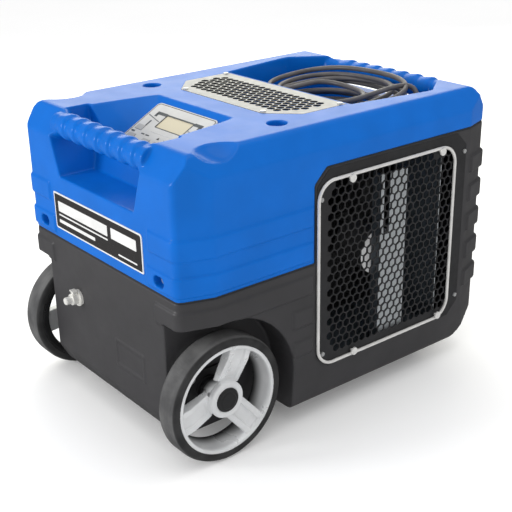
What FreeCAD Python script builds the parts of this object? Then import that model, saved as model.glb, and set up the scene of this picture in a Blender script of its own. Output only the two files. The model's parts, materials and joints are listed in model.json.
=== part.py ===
import FreeCAD, Part
import math
import os
import Sketcher
from FreeCAD import Placement, Rotation, Vector

# Portable commercial dehumidifier on two wheels.
# +X is the machine's outlet side, -Y the front with the handle and the wheels, +Z up.
# The origin is on the floor, under the centre of the whole machine.

DIMENSIONS = (
    ("body_depth", 600, "front face to rear face"),
    ("body_width", 428, "side face to side face, without the raised bands"),
    ("top_level", 456, "top face above the floor"),
    ("under_level", 28.6, "underside of the moulding above the floor"),
    ("shell_wall", 4.5, "wall of the moulded shells"),
    ("band_relief", 3, "how far the grip bands stand proud"),
    ("tooth_relief", 4.5, "how far the blocks on the rear corner posts stand proud"),
    ("seam_level", 257.4, "joint between the shells, front part"),
    ("seam_rear_level", 396, "joint between the shells, rear part"),
    ("seam_step", 228, "where the joint steps up, behind the front face"),
    ("gasket_gap", 1.6, "thickness of the shell gasket"),
    ("drain_reach", 25, "how far the drain coupling stands out in front"),
    ("wheel_radius", 95.4, "tyre outside radius"),
    ("wheel_setback", 66, "wheel axis behind the front face"),
    ("wheel_face", 214, "outer face of a tyre from the centre plane"),
    ("tyre_width", 37.5, "width of a tyre"),
    ("rim_radius", 82.2, "tyre seat radius"),
    ("axle_radius", 8, "stub axle radius"),
    ("running_gap", 0.05, "radial running clearance of axles, shafts and pins"),
    ("well_radius", 121.5, "wheel arch radius about the wheel axis"),
    ("well_inner", 160, "inner wall of a wheel well from the centre plane"),
    ("panel_angle", 28, "slope of the control panel"),
    ("panel_setback", 85, "front edge of the panel behind the front face"),
    ("panel_level", 405.5, "front edge of the panel above the floor"),
    ("panel_length", 94, "control panel along its slope"),
    ("panel_width", 150, "control panel across the machine"),
    ("panel_plate", 3, "control panel thickness"),
    ("grille_front", 230, "front edge of a side grille behind the front face"),
    ("grille_rear", 541, "rear edge of a side grille behind the front face"),
    ("grille_low", 84, "bottom edge of a side grille"),
    ("grille_high", 394, "top edge of a side grille"),
    ("grille_chamfer", 22, "cut corners of a side grille"),
    ("sheet", 2, "thickness of the perforated sheets"),
    ("hole_pitch", 13.6, "spacing of the hexagonal holes"),
    ("hole_flats", 11.6, "width across flats of a hexagonal hole"),
    ("ring_wire", 5, "wire diameter of the side rings"),
    ("fan_setback", 380, "fan axis behind the front face"),
    ("fan_level", 228, "fan axis above the floor"),
    ("fan_radius", 121, "tip radius of the fan"),
    ("shaft_radius", 4, "fan motor shaft radius"),
    ("chassis_level", 33.1, "inside floor of the lower shell"),
    ("chassis_sheet", 2, "chassis plate thickness"),
)

doc = FreeCAD.newDocument("dehumidifier")
sheet = doc.addObject("Spreadsheet::Sheet", "dims")
for row, (alias, amount, meaning) in enumerate(DIMENSIONS, start=1):
    sheet.set(f"A{row}", meaning)
    sheet.set(f"B{row}", str(amount))
    sheet.setAlias(f"B{row}", alias)
doc.recompute()

FRONT = "(dims.wheel_radius - dims.wheel_setback - dims.body_depth - dims.tooth_relief) / 2"
CHASSIS_TOP = "dims.chassis_level + dims.chassis_sheet"
SIDES = (("right", 1), ("left", -1))
X_AXIS = Vector(1, 0, 0)
Y_AXIS = Vector(0, 1, 0)
Z_AXIS = Vector(0, 0, 1)
ALONG_X = Rotation(Y_AXIS, 90)
ALONG_Y = Rotation(X_AXIS, -90)
ALONG_FRONT = Rotation(X_AXIS, 90)

nodes = []


def value(expression):
    """Number that an expression over the sheet gives."""
    return float(sheet.evalExpression(str(expression)))


def behind(distance):
    """Y of a place this far behind the front face, as an expression."""
    return f"{FRONT} + {distance}"


def bind(target, bindings):
    for property_path, expression in bindings.items():
        target.setExpression(property_path, str(expression))


def node(target, label):
    """Register an object as a sub-part: its label names the exported file."""
    target.Label = label
    nodes.append(target)
    return target


# Building blocks bound to the sheet ---------------------------------------------------


def place(target, x, y, z, rotation=Rotation()):
    target.Placement = Placement(Vector(0, 0, 0), rotation)
    bind(target, {"Placement.Base.x": x, "Placement.Base.y": y, "Placement.Base.z": z})
    return target


def box(name, spans):
    """Box given by its low and high expressions along X, Y and Z."""
    solid = doc.addObject("Part::Box", name)
    for side, (low, high) in zip(("Length", "Width", "Height"), spans):
        solid.setExpression(side, f"({high}) - ({low})")
    return place(solid, *(low for low, high in spans))


def rod(name, radius, length, x, y, z, rotation=Rotation()):
    """Cylinder that starts at the given place and runs along its rotated axis."""
    solid = doc.addObject("Part::Cylinder", name)
    bind(solid, {"Radius": radius, "Height": length})
    return place(solid, x, y, z, rotation)


def fuse(name, members):
    union = doc.addObject("Part::MultiFuse", name)
    union.Shapes = members
    return union


def cut(name, base, *tools):
    """Take the tools away from the base."""
    difference = doc.addObject("Part::Cut", name)
    difference.Base = base
    difference.Tool = tools[0] if len(tools) == 1 else group(f"{name}_tools", tools)
    return difference


def group(name, members):
    """Separate solids kept side by side."""
    compound = doc.addObject("Part::Compound", name)
    compound.Links = list(members)
    return compound


def origin_plane(body, role):
    return next(item for item in body.Origin.OriginFeatures if item.Role == role)


def sketch_on(body, role, outline, offset="0"):
    """Closed sketch of straight edges whose corners are bound to the sheet."""
    sketch = body.newObject("Sketcher::SketchObject", f"{body.Name}_outline")
    sketch.AttachmentSupport = (origin_plane(body, role), [""])
    sketch.MapMode = "FlatFace"
    sketch.setExpression("AttachmentOffset.Base.z", str(offset))
    corners = [Vector(value(u), value(v), 0) for u, v in outline]
    for index, corner in enumerate(corners):
        sketch.addGeometry(Part.LineSegment(corner, corners[(index + 1) % len(corners)]), False)
    for index in range(len(corners)):
        sketch.addConstraint(Sketcher.Constraint("Coincident", (index - 1) % len(corners), 2, index, 1))
    for index, (corner, pair) in enumerate(zip(corners, outline)):
        hold_corner(sketch, index, "DistanceX", corner.x, pair[0], -2)
        hold_corner(sketch, index, "DistanceY", corner.y, pair[1], -1)
    return sketch


def hold_corner(sketch, index, direction, amount, expression, axis_line):
    if abs(amount) < 1e-9:
        sketch.addConstraint(Sketcher.Constraint("PointOnObject", index, 1, axis_line))
        return
    number = sketch.addConstraint(Sketcher.Constraint(direction, -1, 1, index, 1, amount))
    sketch.setExpression(f"Constraints[{number}]", str(expression))


def new_body(name):
    return doc.addObject("PartDesign::Body", name)


def pad(body, sketch, length, midplane=False):
    feature = body.newObject("PartDesign::Pad", f"{body.Name}_pad")
    feature.Profile = sketch
    feature.Midplane = midplane
    feature.setExpression("Length", str(length))
    return feature


def pocket_through(body, sketch):
    """Cut a sketch through the whole body, both ways from its plane."""
    feature = body.newObject("PartDesign::Pocket", f"{body.Name}_pocket")
    feature.Profile = sketch
    feature.Type = "ThroughAll"
    feature.Midplane = True
    return feature


def plate(name, role, outline, thickness, offset="0"):
    """Flat plate: one padded outline."""
    body = new_body(name)
    pad(body, sketch_on(body, role, outline, offset), thickness)
    return body


def turned(name, outline):
    """Body of revolution about its own Z axis; the outline gives radius and height."""
    body = new_body(name)
    feature = body.newObject("PartDesign::Revolution", f"{name}_turn")
    feature.Profile = sketch_on(body, "XZ_Plane", outline)
    feature.ReferenceAxis = (origin_plane(body, "Z_Axis"), [""])
    feature.Angle = 360
    return body


def rectangle(low_u, high_u, low_v, high_v):
    return [(low_u, low_v), (high_u, low_v), (high_u, high_v), (low_u, high_v)]


def free_shape(name, shape, placement=Placement()):
    """Object whose form neither sketches nor primitives describe."""
    feature = doc.addObject("Part::Feature", name)
    feature.Shape = shape
    feature.Placement = placement
    return feature


def shape_node(label, shape, placement=Placement()):
    return node(free_shape(label, shape, placement), label)


# Geometry of the moulded shells ---------------------------------------------------------

front = value(FRONT)
depth = value("dims.body_depth")
half_width = value("dims.body_width / 2")
top = value("dims.top_level")
underside = value("dims.under_level")
wall = value("dims.shell_wall")
relief = value("dims.band_relief")
tooth_relief = value("dims.tooth_relief")
seam = value("dims.seam_level")
seam_rear = value("dims.seam_rear_level")
seam_step = front + value("dims.seam_step")
gap = value("dims.gasket_gap")
wheel_y = front + value("dims.wheel_setback")
wheel_z = value("dims.wheel_radius")
well_radius = value("dims.well_radius")
well_inner = value("dims.well_inner")
FAR = 1000

PANEL_SLACK = 2.5
PANEL_MOUTH = ((-119, 52), (119, 52), (99, 181), (-99, 181))
RECESS_HALF_WIDTH = 122
RECESS_SILL = 361
CORD_FLOOR = 381
CORD_FRONT = 354
CORD_REAR = 560
VENT_CORNERS = ((-101, 225), (101, 225), (144, 265), (144, 350), (-144, 350), (-144, 265))
SCREW_WELLS = ((156, 207), (-156, 207))
WELL_DEPTH = 12
FRONT_WELL_DEPTH = 10
FRONT_SCREWS = ((158, 278.6), (-158, 278.6))
FRONT_HANDLE = {"setback": 20, "level": 436, "radius": 16, "half_length": 124, "lobes": 7}
REAR_HANDLE = {"setback": 579, "level": 434, "radius": 15, "half_length": 130, "lobes": 7}
DRAIN_X, DRAIN_LEVEL = -75, 173.6


def mirrored(points):
    """Outline symmetric about the centre plane, from its right-hand half."""
    return points + [(-u, v) for u, v in reversed(points)]


def outline_face(points, plane, grow=0.0):
    """Face of a closed outline in the XY, XZ or YZ plane, grown outwards."""
    to_space = {
        "XY": lambda u, v: Vector(u, v, 0),
        "XZ": lambda u, v: Vector(u, 0, v),
        "YZ": lambda u, v: Vector(0, u, v),
    }[plane]
    wire = Part.makePolygon([to_space(u, v) for u, v in points + points[:1]])
    if grow:
        wire = wire.makeOffset2D(grow, 2)
    return Part.Face(wire)


def prism(points, plane, low, high, grow=0.0):
    """Outline pushed along the axis it doesn't lie in, from low to high."""
    axis = {"XY": Z_AXIS, "XZ": Y_AXIS, "YZ": X_AXIS}[plane]
    face = outline_face(points, plane, grow)
    face.translate(axis * low)
    return face.extrude(axis * (high - low))


def rounded_edges(solid, axis, radius):
    """Round every straight edge that runs along an axis."""
    edges = [edge for edge in solid.Edges if abs(edge.tangentAt(edge.FirstParameter).dot(axis)) > 0.999]
    return solid.makeFillet(radius, edges)


def cuboid(x_span, y_span, z_span):
    low = Vector(x_span[0], y_span[0], z_span[0])
    return Part.makeBox(x_span[1] - x_span[0], y_span[1] - y_span[0], z_span[1] - z_span[0], low)


def envelope(grow=0.0):
    """Outside form of the machine: plan, side and front outlines crossed with each other."""
    facet_in = 17.5
    facet_run = 51
    rear = front + depth
    plan = mirrored([
        (half_width - facet_in, front),
        (half_width, front + facet_run),
        (half_width, rear - facet_run),
        (half_width - facet_in, rear),
    ])
    side = [
        (front, 60), (front, 420.6), (front + 27, top), (rear - 33, top),
        (rear, 416.6), (rear, 76), (rear - 60, underside), (front + 17, underside),
    ]
    shoulder = mirrored([
        (half_width - 7, underside), (half_width, 110), (half_width, 424), (half_width - 17, top),
    ])
    corner = 12 + grow
    body = rounded_edges(prism(plan, "XY", -FAR, FAR, grow), Z_AXIS, corner)
    body = body.common(rounded_edges(prism(side, "YZ", -FAR, FAR, grow), X_AXIS, corner))
    return body.common(rounded_edges(prism(shoulder, "XZ", -FAR, FAR, grow), Y_AXIS, corner))


def seam_points(lift):
    """Line between the shells, seen from the side, raised by a small lift."""
    cut_corner = value("dims.grille_chamfer")
    return [
        (-FAR, seam + lift), (seam_step - lift, seam + lift),
        (seam_step - lift, seam_rear - cut_corner + lift),
        (seam_step + cut_corner - lift, seam_rear + lift), (FAR, seam_rear + lift),
    ]


def above_seam(lift=0.0):
    return prism(seam_points(lift) + [(FAR, FAR), (-FAR, FAR)], "YZ", -FAR, FAR)


def below_seam():
    return prism(seam_points(0.0) + [(FAR, -FAR), (-FAR, -FAR)], "YZ", -FAR, FAR)


def front_recess(grow=0.0):
    """Hand hole through the front face, open upwards behind the handle."""
    side = [
        (front - 40, RECESS_SILL), (front + 60, RECESS_SILL), (front + 76, 402), (front + 66, top + 40),
        (front - 40, top + 40),
    ]
    face = mirrored([
        (101, RECESS_SILL - 40), (101, RECESS_SILL), (RECESS_HALF_WIDTH, 420), (124, top + 40)])
    return prism(side, "YZ", -FAR, FAR, grow).common(prism(face, "XZ", -FAR, FAR, grow))


def panel_recess(grow=0.0):
    """Funnel from the opening in the top down to the sloped seat of the control panel."""
    rise = math.radians(value("dims.panel_angle"))
    low_y = value("dims.panel_setback")
    high_y = low_y + value("dims.panel_length") * math.cos(rise)
    half = value("dims.panel_width") / 2 + 1
    seat = value("dims.panel_level") - (value("dims.panel_plate") + grow) / math.cos(rise)
    margin = PANEL_SLACK + grow
    lower = rectangle(-half - grow, half + grow, low_y - margin, high_y + margin)
    upper = [(x + math.copysign(grow, x), setback + math.copysign(grow, setback - high_y / 2))
             for x, setback in PANEL_MOUTH]
    loops = (
        [Vector(x, front + setback, seat + (setback - low_y) * math.tan(rise)) for x, setback in lower],
        [Vector(x, front + setback, top + 2 + grow) for x, setback in upper],
    )
    return Part.makeLoft([Part.makePolygon(loop + loop[:1]) for loop in loops], True, True)


def cord_recess(grow=0.0):
    """Open tub behind the top vent where the coiled cord lies, with a hand hole at the rear."""
    rear = front + depth
    side = [
        (front + CORD_FRONT, CORD_FLOOR), (front + CORD_REAR, CORD_FLOOR),
        (front + CORD_REAR + 9, 403), (rear + 40, 403), (rear + 40, top + 40),
        (front + CORD_FRONT, top + 40),
    ]
    plan = mirrored([
        (146, front + CORD_FRONT - 20), (170, front + 490), (170, front + 505),
        (129, front + 562), (125, rear + 40),
    ])
    return prism(side, "YZ", -FAR, FAR, grow).common(prism(plan, "XY", -FAR, FAR, grow))


def screw_wells(grow=0.0):
    """Round recesses in the top and oval ones in the front, over the shell screws."""
    wells = []
    for x, setback in SCREW_WELLS:
        base = Vector(x, front + setback, top - WELL_DEPTH - grow)
        wells.append(Part.makeCylinder(14.5 + grow, FAR, base, Z_AXIS))
    for x, level in FRONT_SCREWS:
        for shift in (-4, 4):
            base = Vector(x + shift, front + FRONT_WELL_DEPTH + grow, level)
            wells.append(Part.makeCylinder(8 + grow, FAR, base, -Y_AXIS))
    return wells


def corner_scoops(grow=0.0):
    """Lens-shaped hollows in the front shoulders."""
    return [Part.makeSphere(55 + grow, Vector(side * 213, front + 73, top + 37)) for side in (1, -1)]


def wheel_well(side, grow=0.0):
    """Round arch about the wheel, open to the front, to the side and downwards."""
    inner = side * (well_inner - grow)
    outer = side * FAR
    low, high = min(inner, outer), max(inner, outer)
    radius = well_radius + grow
    arch = Part.makeCylinder(radius, high - low, Vector(low, wheel_y, wheel_z), X_AXIS)
    ahead = cuboid((low, high), (front - FAR, wheel_y), (-FAR, wheel_z + radius))
    below = cuboid((low, high), (wheel_y - 1, wheel_y + radius), (-FAR, wheel_z))
    return arch.fuse([ahead, below])


def grille_corners(margin):
    """Outline of a side grille in Y and Z, drawn in by a margin."""
    cut_corner = value("dims.grille_chamfer") - 0.4 * margin
    y_low = front + value("dims.grille_front") + margin
    y_high = front + value("dims.grille_rear") - margin
    z_low = value("dims.grille_low") + margin
    z_high = value("dims.grille_high") - margin
    return [
        (y_low + cut_corner, z_low), (y_high - cut_corner, z_low), (y_high, z_low + cut_corner),
        (y_high, z_high - cut_corner), (y_high - cut_corner, z_high),
        (y_low + cut_corner, z_high), (y_low, z_high - cut_corner), (y_low, z_low + cut_corner),
    ]


def band(y_span, z_span, from_x, proud):
    """Raised band round the outside, between two levels, on both sides of the centre plane."""
    skin = envelope(proud).cut(envelope(-wall / 2))
    stripes = []
    for side in (1, -1):
        near, far = side * from_x, side * FAR
        stripes.append(skin.common(cuboid((min(near, far), max(near, far)), y_span, z_span)))
    return stripes


def hand_bar(spec):
    """Handle bar across the machine with overlapping finger lobes, each higher at its +X end."""
    lobe_length = 31
    swell = 4
    radius = spec["radius"]
    reach = spec["half_length"]
    start = -spec["lobes"] * lobe_length / 2
    edges = [
        Part.makeLine(Vector(-reach, 0, 0), Vector(-reach, 0, radius)),
        Part.makeLine(Vector(-reach, 0, radius), Vector(start, 0, radius)),
    ]
    for index in range(spec["lobes"]):
        left = Vector(start + index * lobe_length, 0, radius)
        crest = left + Vector(lobe_length - 5, 0, swell)
        rising = left + Vector(lobe_length / 2, 0, 0.75 * swell)
        edges.append(Part.Arc(left, rising, crest).toShape())
        edges.append(Part.makeLine(crest, left + Vector(lobe_length, 0, 0)))
    edges += [
        Part.makeLine(Vector(-start, 0, radius), Vector(reach, 0, radius)),
        Part.makeLine(Vector(reach, 0, radius), Vector(reach, 0, 0)),
        Part.makeLine(Vector(reach, 0, 0), Vector(-reach, 0, 0)),
    ]
    bar = Part.Face(Part.Wire(edges)).revolve(Vector(0, 0, 0), X_AXIS, 360)
    bar.translate(Vector(0, front + spec["setback"], spec["level"]))
    return bar


def handle_roots(spec):
    """Flares that blend the ends of a handle bar into the walls beside it."""
    radius = spec["radius"]
    flare = 16
    roots = []
    for side in (1, -1):
        end = Vector(side * spec["half_length"], front + spec["setback"], spec["level"])
        roots.append(Part.makeCone(radius + flare / 2, radius, flare, end, X_AXIS * -side))
    return roots


def upper_shell():
    """Coloured top moulding with the handles, the panel recess, the vent and the cord tub."""
    outside = envelope()
    hollows = (front_recess, panel_recess, cord_recess)
    tubs = [hollow(wall) for hollow in hollows] + screw_wells(wall) + corner_scoops(wall)
    voids = [hollow() for hollow in hollows] + screw_wells() + corner_scoops()
    skin = outside.cut(envelope(-wall)).common(above_seam(gap))
    bands = []
    for z_span, from_x in (((266, 293), 128), ((317, 345), 135)):
        bands += band((front - 9, seam_step - 6), z_span, from_x, relief)
    linings = [tub.common(outside) for tub in tubs]
    vent = [(x, front + setback) for x, setback in VENT_CORNERS]
    rabbet = prism(vent, "XY", top - value("dims.sheet"), FAR)
    opening = prism(vent, "XY", top - 3 * wall, FAR, -9)
    shell = skin.fuse(linings + bands).cut(voids + [rabbet, opening])
    roots = [root.common(outside) for spec in (FRONT_HANDLE, REAR_HANDLE) for root in handle_roots(spec)]
    shell = shell.fuse([hand_bar(FRONT_HANDLE), hand_bar(REAR_HANDLE)] + roots)
    return shape_node("upper_shell", shell.cut(shank_holes()).removeSplitter())


def shank_holes():
    """Clearance holes for the shanks of the shell screws."""
    radius, reach = 2.1, 40
    holes = [Part.makeCylinder(radius, reach, Vector(x, front + setback, top - WELL_DEPTH), -Z_AXIS)
             for x, setback in SCREW_WELLS]
    holes += [Part.makeCylinder(radius, reach, Vector(x, front + FRONT_WELL_DEPTH, level), Y_AXIS)
              for x, level in FRONT_SCREWS]
    return holes


def lower_shell():
    """Dark base moulding with wheel wells, side openings and toothed rear corner posts."""
    wells = [wheel_well(side) for name, side in SIDES]
    cavity = envelope(-wall).cut([wheel_well(side, wall) for name, side in SIDES])
    arch_rear = wheel_y + well_radius
    shell = envelope().common(below_seam())
    shell = shell.fuse(band((front - 9, seam_step - 6), (214, 243), 142, relief))
    for z_span in ((167, 194), (121, 144)):
        shell = shell.fuse(band((arch_rear - 2, seam_step - 6), z_span, half_width - 12, relief))
    for step in range(5):
        low = 127 + 49 * step
        shell = shell.fuse(band((front + 554, FAR), (low, low + 27), half_width - 60, tooth_relief))
    frame = cuboid((27, 104), (front - 1.5, front + 2), (100, 143))
    shell = shell.fuse(frame.cut(cuboid((30, 101), (front - 2, front), (103, 140))))
    inside_face = half_width - value("dims.sheet")
    seats = prism(grille_corners(0), "YZ", -FAR, FAR).cut(
        prism(grille_corners(-1), "YZ", -inside_face, inside_face))
    openings = prism(grille_corners(10), "YZ", -FAR, FAR)
    drain_hole = Part.makeCylinder(8.2, 40, Vector(DRAIN_X, front + 30, DRAIN_LEVEL), -Y_AXIS)
    axle_hole = Part.makeCylinder(
        value("dims.axle_radius") + 0.5, 2 * FAR, Vector(-FAR, wheel_y, wheel_z), X_AXIS)
    shell = shell.cut([cavity] + wells + [seats, openings, drain_hole, axle_hole])
    return shape_node("lower_shell", shell.removeSplitter())


def shell_gasket():
    """Thin seal between the two shells, along the stepped joint."""
    strip = envelope(-1).cut(envelope(1 - wall))
    strip = strip.cut([above_seam(gap), below_seam()])
    return shape_node("shell_gasket", strip)


# Perforated sheets and the rings over them ------------------------------------------------


def hexagon(centre_u, centre_v, flats):
    """Corner points of a hexagon that stands on a corner."""
    reach = flats / math.sqrt(3)
    angles = [math.radians(30 + 60 * step) for step in range(6)]
    return [(centre_u + reach * math.cos(angle), centre_v + reach * math.sin(angle)) for angle in angles]


def inside(corners, u, v):
    """Whether a place is inside an outline that runs anticlockwise."""
    for (u_a, v_a), (u_b, v_b) in zip(corners, corners[1:] + corners[:1]):
        if (u_b - u_a) * (v - v_a) - (v_b - v_a) * (u - u_a) < 0:
            return False
    return True


def hole_centres(corners):
    """Staggered rows of hole centres that fall inside an outline."""
    pitch = value("dims.hole_pitch")
    row_height = pitch * math.sqrt(3) / 2
    lows = [min(pair[axis] for pair in corners) for axis in (0, 1)]
    highs = [max(pair[axis] for pair in corners) for axis in (0, 1)]
    middle = [(low + high) / 2 for low, high in zip(lows, highs)]
    rows = int((highs[1] - lows[1]) / row_height / 2) + 1
    columns = int((highs[0] - lows[0]) / pitch / 2) + 2
    centres = []
    for row in range(-rows, rows + 1):
        for column in range(-columns, columns + 1):
            u = middle[0] + (column + 0.5 * (row % 2)) * pitch
            v = middle[1] + row * row_height
            if inside(corners, u, v):
                centres.append((u, v))
    return centres


def perforated(outline, field, plane, low, screw_places):
    """Sheet with a field of hexagonal holes, left plain about its few screw holes."""
    flats = value("dims.hole_flats")
    to_space = {"XY": lambda u, v: Vector(u, v, 0), "YZ": lambda u, v: Vector(0, u, v)}[plane]
    axis = {"XY": Z_AXIS, "YZ": X_AXIS}[plane]
    wires = [Part.makePolygon([to_space(u, v) for u, v in outline + outline[:1]])]
    for u, v in hole_centres(field):
        if any(math.hypot(u - screw_u, v - screw_v) < HEX_SCREW_ROOM for screw_u, screw_v in screw_places):
            continue
        corners = hexagon(u, v, flats)
        wires.append(Part.makePolygon([to_space(*pair) for pair in corners + corners[:1]]))
    for u, v in screw_places:
        wires.append(Part.Wire(Part.makeCircle(2.2, to_space(u, v), axis)))
    face = Part.Face(wires, "Part::FaceMakerBullseye")
    face.translate(axis * low)
    return face.extrude(axis * value("dims.sheet"))


GRILLE_SCREWS = ((241.5, 108), (535, 117), (536, 362), (237.5, 352))
RING_SCREWS = ((302, 94.6), (489, 95.4), (292, 373.4), (480, 373.4))
VENT_SCREWS = ((-96, 231), (96, 231), (138, 342), (-138, 342))
RING_LOW, RING_HIGH = 90, 378
RING_FRONT, RING_REAR = 231, 513
HEX_SCREW_ROOM = 9


def grille_places(pairs):
    return [(front + setback, level) for setback, level in pairs]


def side_grilles():
    holes = grille_places(GRILLE_SCREWS + RING_SCREWS)
    pressing = perforated(grille_corners(0.3), grille_corners(21), "YZ", 0, holes)
    for name, side in SIDES:
        inner_face = half_width - value("dims.sheet") if side > 0 else -half_width
        shape_node(f"{name}_grille", pressing, Placement(Vector(inner_face, 0, 0), Rotation()))


def grown_outline(points, amount):
    """Corners of an outline moved outwards, running anticlockwise."""
    loop = outline_face(points, "XY", amount).OuterWire.OrderedVertexes
    corners = [(vertex.Point.x, vertex.Point.y) for vertex in loop]
    middle_u = sum(u for u, v in corners) / len(corners)
    middle_v = sum(v for u, v in corners) / len(corners)
    return corners if inside(corners, middle_u, middle_v) else corners[::-1]


def top_vent():
    """Perforated plate let into the top, over the space between the coils."""
    vent = [(x, front + setback) for x, setback in VENT_CORNERS]
    screws = [(x, front + setback) for x, setback in VENT_SCREWS]
    pressing = perforated(
        grown_outline(vent, -0.3), grown_outline(vent, -16), "XY", top - value("dims.sheet"), screws)
    shape_node("top_vent_plate", pressing)


def side_rings():
    """Round wire bent to a rounded rectangle, standing clear of each side grille."""
    wire_radius = value("dims.ring_wire") / 2
    bend = 30
    for name, side in SIDES:
        corners = rectangle(RING_FRONT, RING_REAR, RING_LOW, RING_HIGH)
        x = side * (half_width + wire_radius)
        points = [Vector(x, y, z) for y, z in grille_places(corners)]
        path = rounded_loop(points, bend)
        start = path.Edges[0].firstVertex().Point
        direction = path.Edges[0].tangentAt(path.Edges[0].FirstParameter)
        section = Part.Wire(Part.makeCircle(wire_radius, start, direction))
        ring = path.makePipeShell([section], True, True)
        shape_node(f"{name}_duct_ring", ring)


def rounded_loop(corners, radius):
    """Closed path through the corners with round bends."""
    edges = []
    count = len(corners)
    for index, corner in enumerate(corners):
        before = (corners[index - 1] - corner).normalize()
        after = (corners[(index + 1) % count] - corner).normalize()
        entry = corner + before * radius
        leave = corner + after * radius
        centre = entry + after * radius
        middle = centre + (corner - centre).normalize() * radius
        edges.append(Part.Arc(entry, middle, leave).toShape())
        following = corners[(index + 1) % count]
        ahead = (corner - following).normalize() * radius
        edges.append(Part.makeLine(leave, following + ahead))
    return Part.Wire(Part.__sortEdges__(edges))


def screw(name, head_radius, head_height, x, y, z, rotation, length):
    """Pan-head screw: its head starts at the place and looks along the rotated axis."""
    head = rod(f"{name}_head", head_radius, head_height, x, y, z, rotation)
    shank = rod(f"{name}_shank", 2, length, x, y, z, rotation.multiply(Rotation(X_AXIS, 180)))
    return fuse(name, [head, shank])


def cover_screws():
    """Pan-head screws of the side grilles and of the top vent."""
    screws = []
    for name, side in SIDES:
        turn = ALONG_X if side > 0 else ALONG_X.inverted()
        for index, (setback, level) in enumerate(GRILLE_SCREWS):
            screws.append(screw(
                f"{name}_grille_screw_{index}", 3.4, 2.2, f"{side} * dims.body_width / 2",
                behind(setback), level, turn, "dims.sheet"))
    for index, (x, setback) in enumerate(VENT_SCREWS):
        screws.append(screw(
            f"vent_screw_{index}", 4.2, 2, x, behind(setback), "dims.top_level", Rotation(), "dims.sheet"))
    node(group("cover_screws_group", screws), "cover_screws")


def ring_screws():
    """Cheese-head screws beside the side rings; their heads hang over the wire and clamp it."""
    head_gap = 0.05
    screws = []
    for name, side in SIDES:
        turn = ALONG_X if side > 0 else ALONG_X.inverted()
        head_foot = f"{side} * (dims.body_width / 2 + dims.ring_wire + {head_gap})"
        for index, (setback, level) in enumerate(RING_SCREWS):
            screws.append(screw(
                f"{name}_ring_screw_{index}", 6, 2.4, head_foot, behind(setback), level, turn,
                f"dims.sheet + dims.ring_wire + {head_gap}"))
    node(group("ring_screws_group", screws), "ring_screws")


# Control panel --------------------------------------------------------------------------

PANEL_TURN = Rotation(X_AXIS, value("dims.panel_angle"))
KEY_PLACES = {
    "power": (-58, -8), "mode": (-58, -28), "up": (-18, -30),
    "down": (10, -30), "pump": (56, -8), "reset": (56, -28),
}
KEY_WIDTH, KEY_LENGTH = 17, 10
KEY_GAP = 0.2
WINDOW = (-30, 38, -8, 32)


def on_panel(u, across, lift):
    """Place on the sloped panel: across the machine, up the slope and off the surface."""
    middle = "dims.panel_length / 2"
    slope = f"({middle} + {across})"
    turn = "dims.panel_angle * 1 deg"
    base_y = behind(f"dims.panel_setback + {slope} * cos({turn}) - ({lift}) * sin({turn})")
    base_z = f"dims.panel_level + {slope} * sin({turn}) + ({lift}) * cos({turn})"
    return u, base_y, base_z


def panel_sheet(name, outline, thickness, lift):
    """Flat piece in the plane of the panel, sketched about the panel's centre."""
    body = plate(name, "XY_Plane", outline, thickness)
    return place(body, *on_panel(0, 0, lift), PANEL_TURN)


def control_panel():
    """Sloped plate with openings for the display and the keys."""
    half_u = "dims.panel_width / 2"
    half_v = "dims.panel_length / 2"
    body = plate("control_panel_plate", "XY_Plane",
                 rectangle(f"-{half_u}", half_u, f"-{half_v}", half_v), "dims.panel_plate")
    openings = [WINDOW]
    for u, v in KEY_PLACES.values():
        reach_u = KEY_WIDTH / 2 + KEY_GAP
        reach_v = KEY_LENGTH / 2 + KEY_GAP
        openings.append((u - reach_u, u + reach_u, v - reach_v, v + reach_v))
    for opening in openings:
        pocket_through(body, sketch_on(body, "XY_Plane", rectangle(*opening)))
    place(body, *on_panel(0, 0, "-dims.panel_plate"), PANEL_TURN)
    node(body, "control_panel")


def display():
    """Clear window over the read-out, let into the panel."""
    low_u, high_u, low_v, high_v = WINDOW
    glass = panel_sheet("display_glass", rectangle(low_u, high_u, low_v, high_v), "dims.panel_plate - 0.6",
                        "-dims.panel_plate")
    node(glass, "display_window")


def panel_keys():
    """Push keys that stand a little proud of the panel and sink into it when pressed."""
    for name, (u, v) in KEY_PLACES.items():
        half_u, half_v = KEY_WIDTH / 2, KEY_LENGTH / 2
        outline = rectangle(u - half_u, u + half_u, v - half_v, v + half_v)
        node(panel_sheet(f"{name}_key_cap", outline, 3, -2), f"key_{name}")


# Front fittings ---------------------------------------------------------------------------

PLATE_LEFT, PLATE_RIGHT, PLATE_LOW, PLATE_HIGH = -123, 120.5, 276.5, 334.5


def nameplate():
    """Blank name plate with cut corners, two of them larger, fixed to the front face."""
    large, small = 5, 2
    outline = [
        (PLATE_LEFT + large, PLATE_LOW), (PLATE_RIGHT - small, PLATE_LOW),
        (PLATE_RIGHT, PLATE_LOW + small), (PLATE_RIGHT, PLATE_HIGH - large),
        (PLATE_RIGHT - large, PLATE_HIGH), (PLATE_LEFT + small, PLATE_HIGH),
        (PLATE_LEFT, PLATE_HIGH - small), (PLATE_LEFT, PLATE_LOW + large),
    ]
    body = plate("nameplate_sheet", "XZ_Plane", outline, 1.2)
    node(place(body, 0, FRONT, 0), "nameplate")


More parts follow.
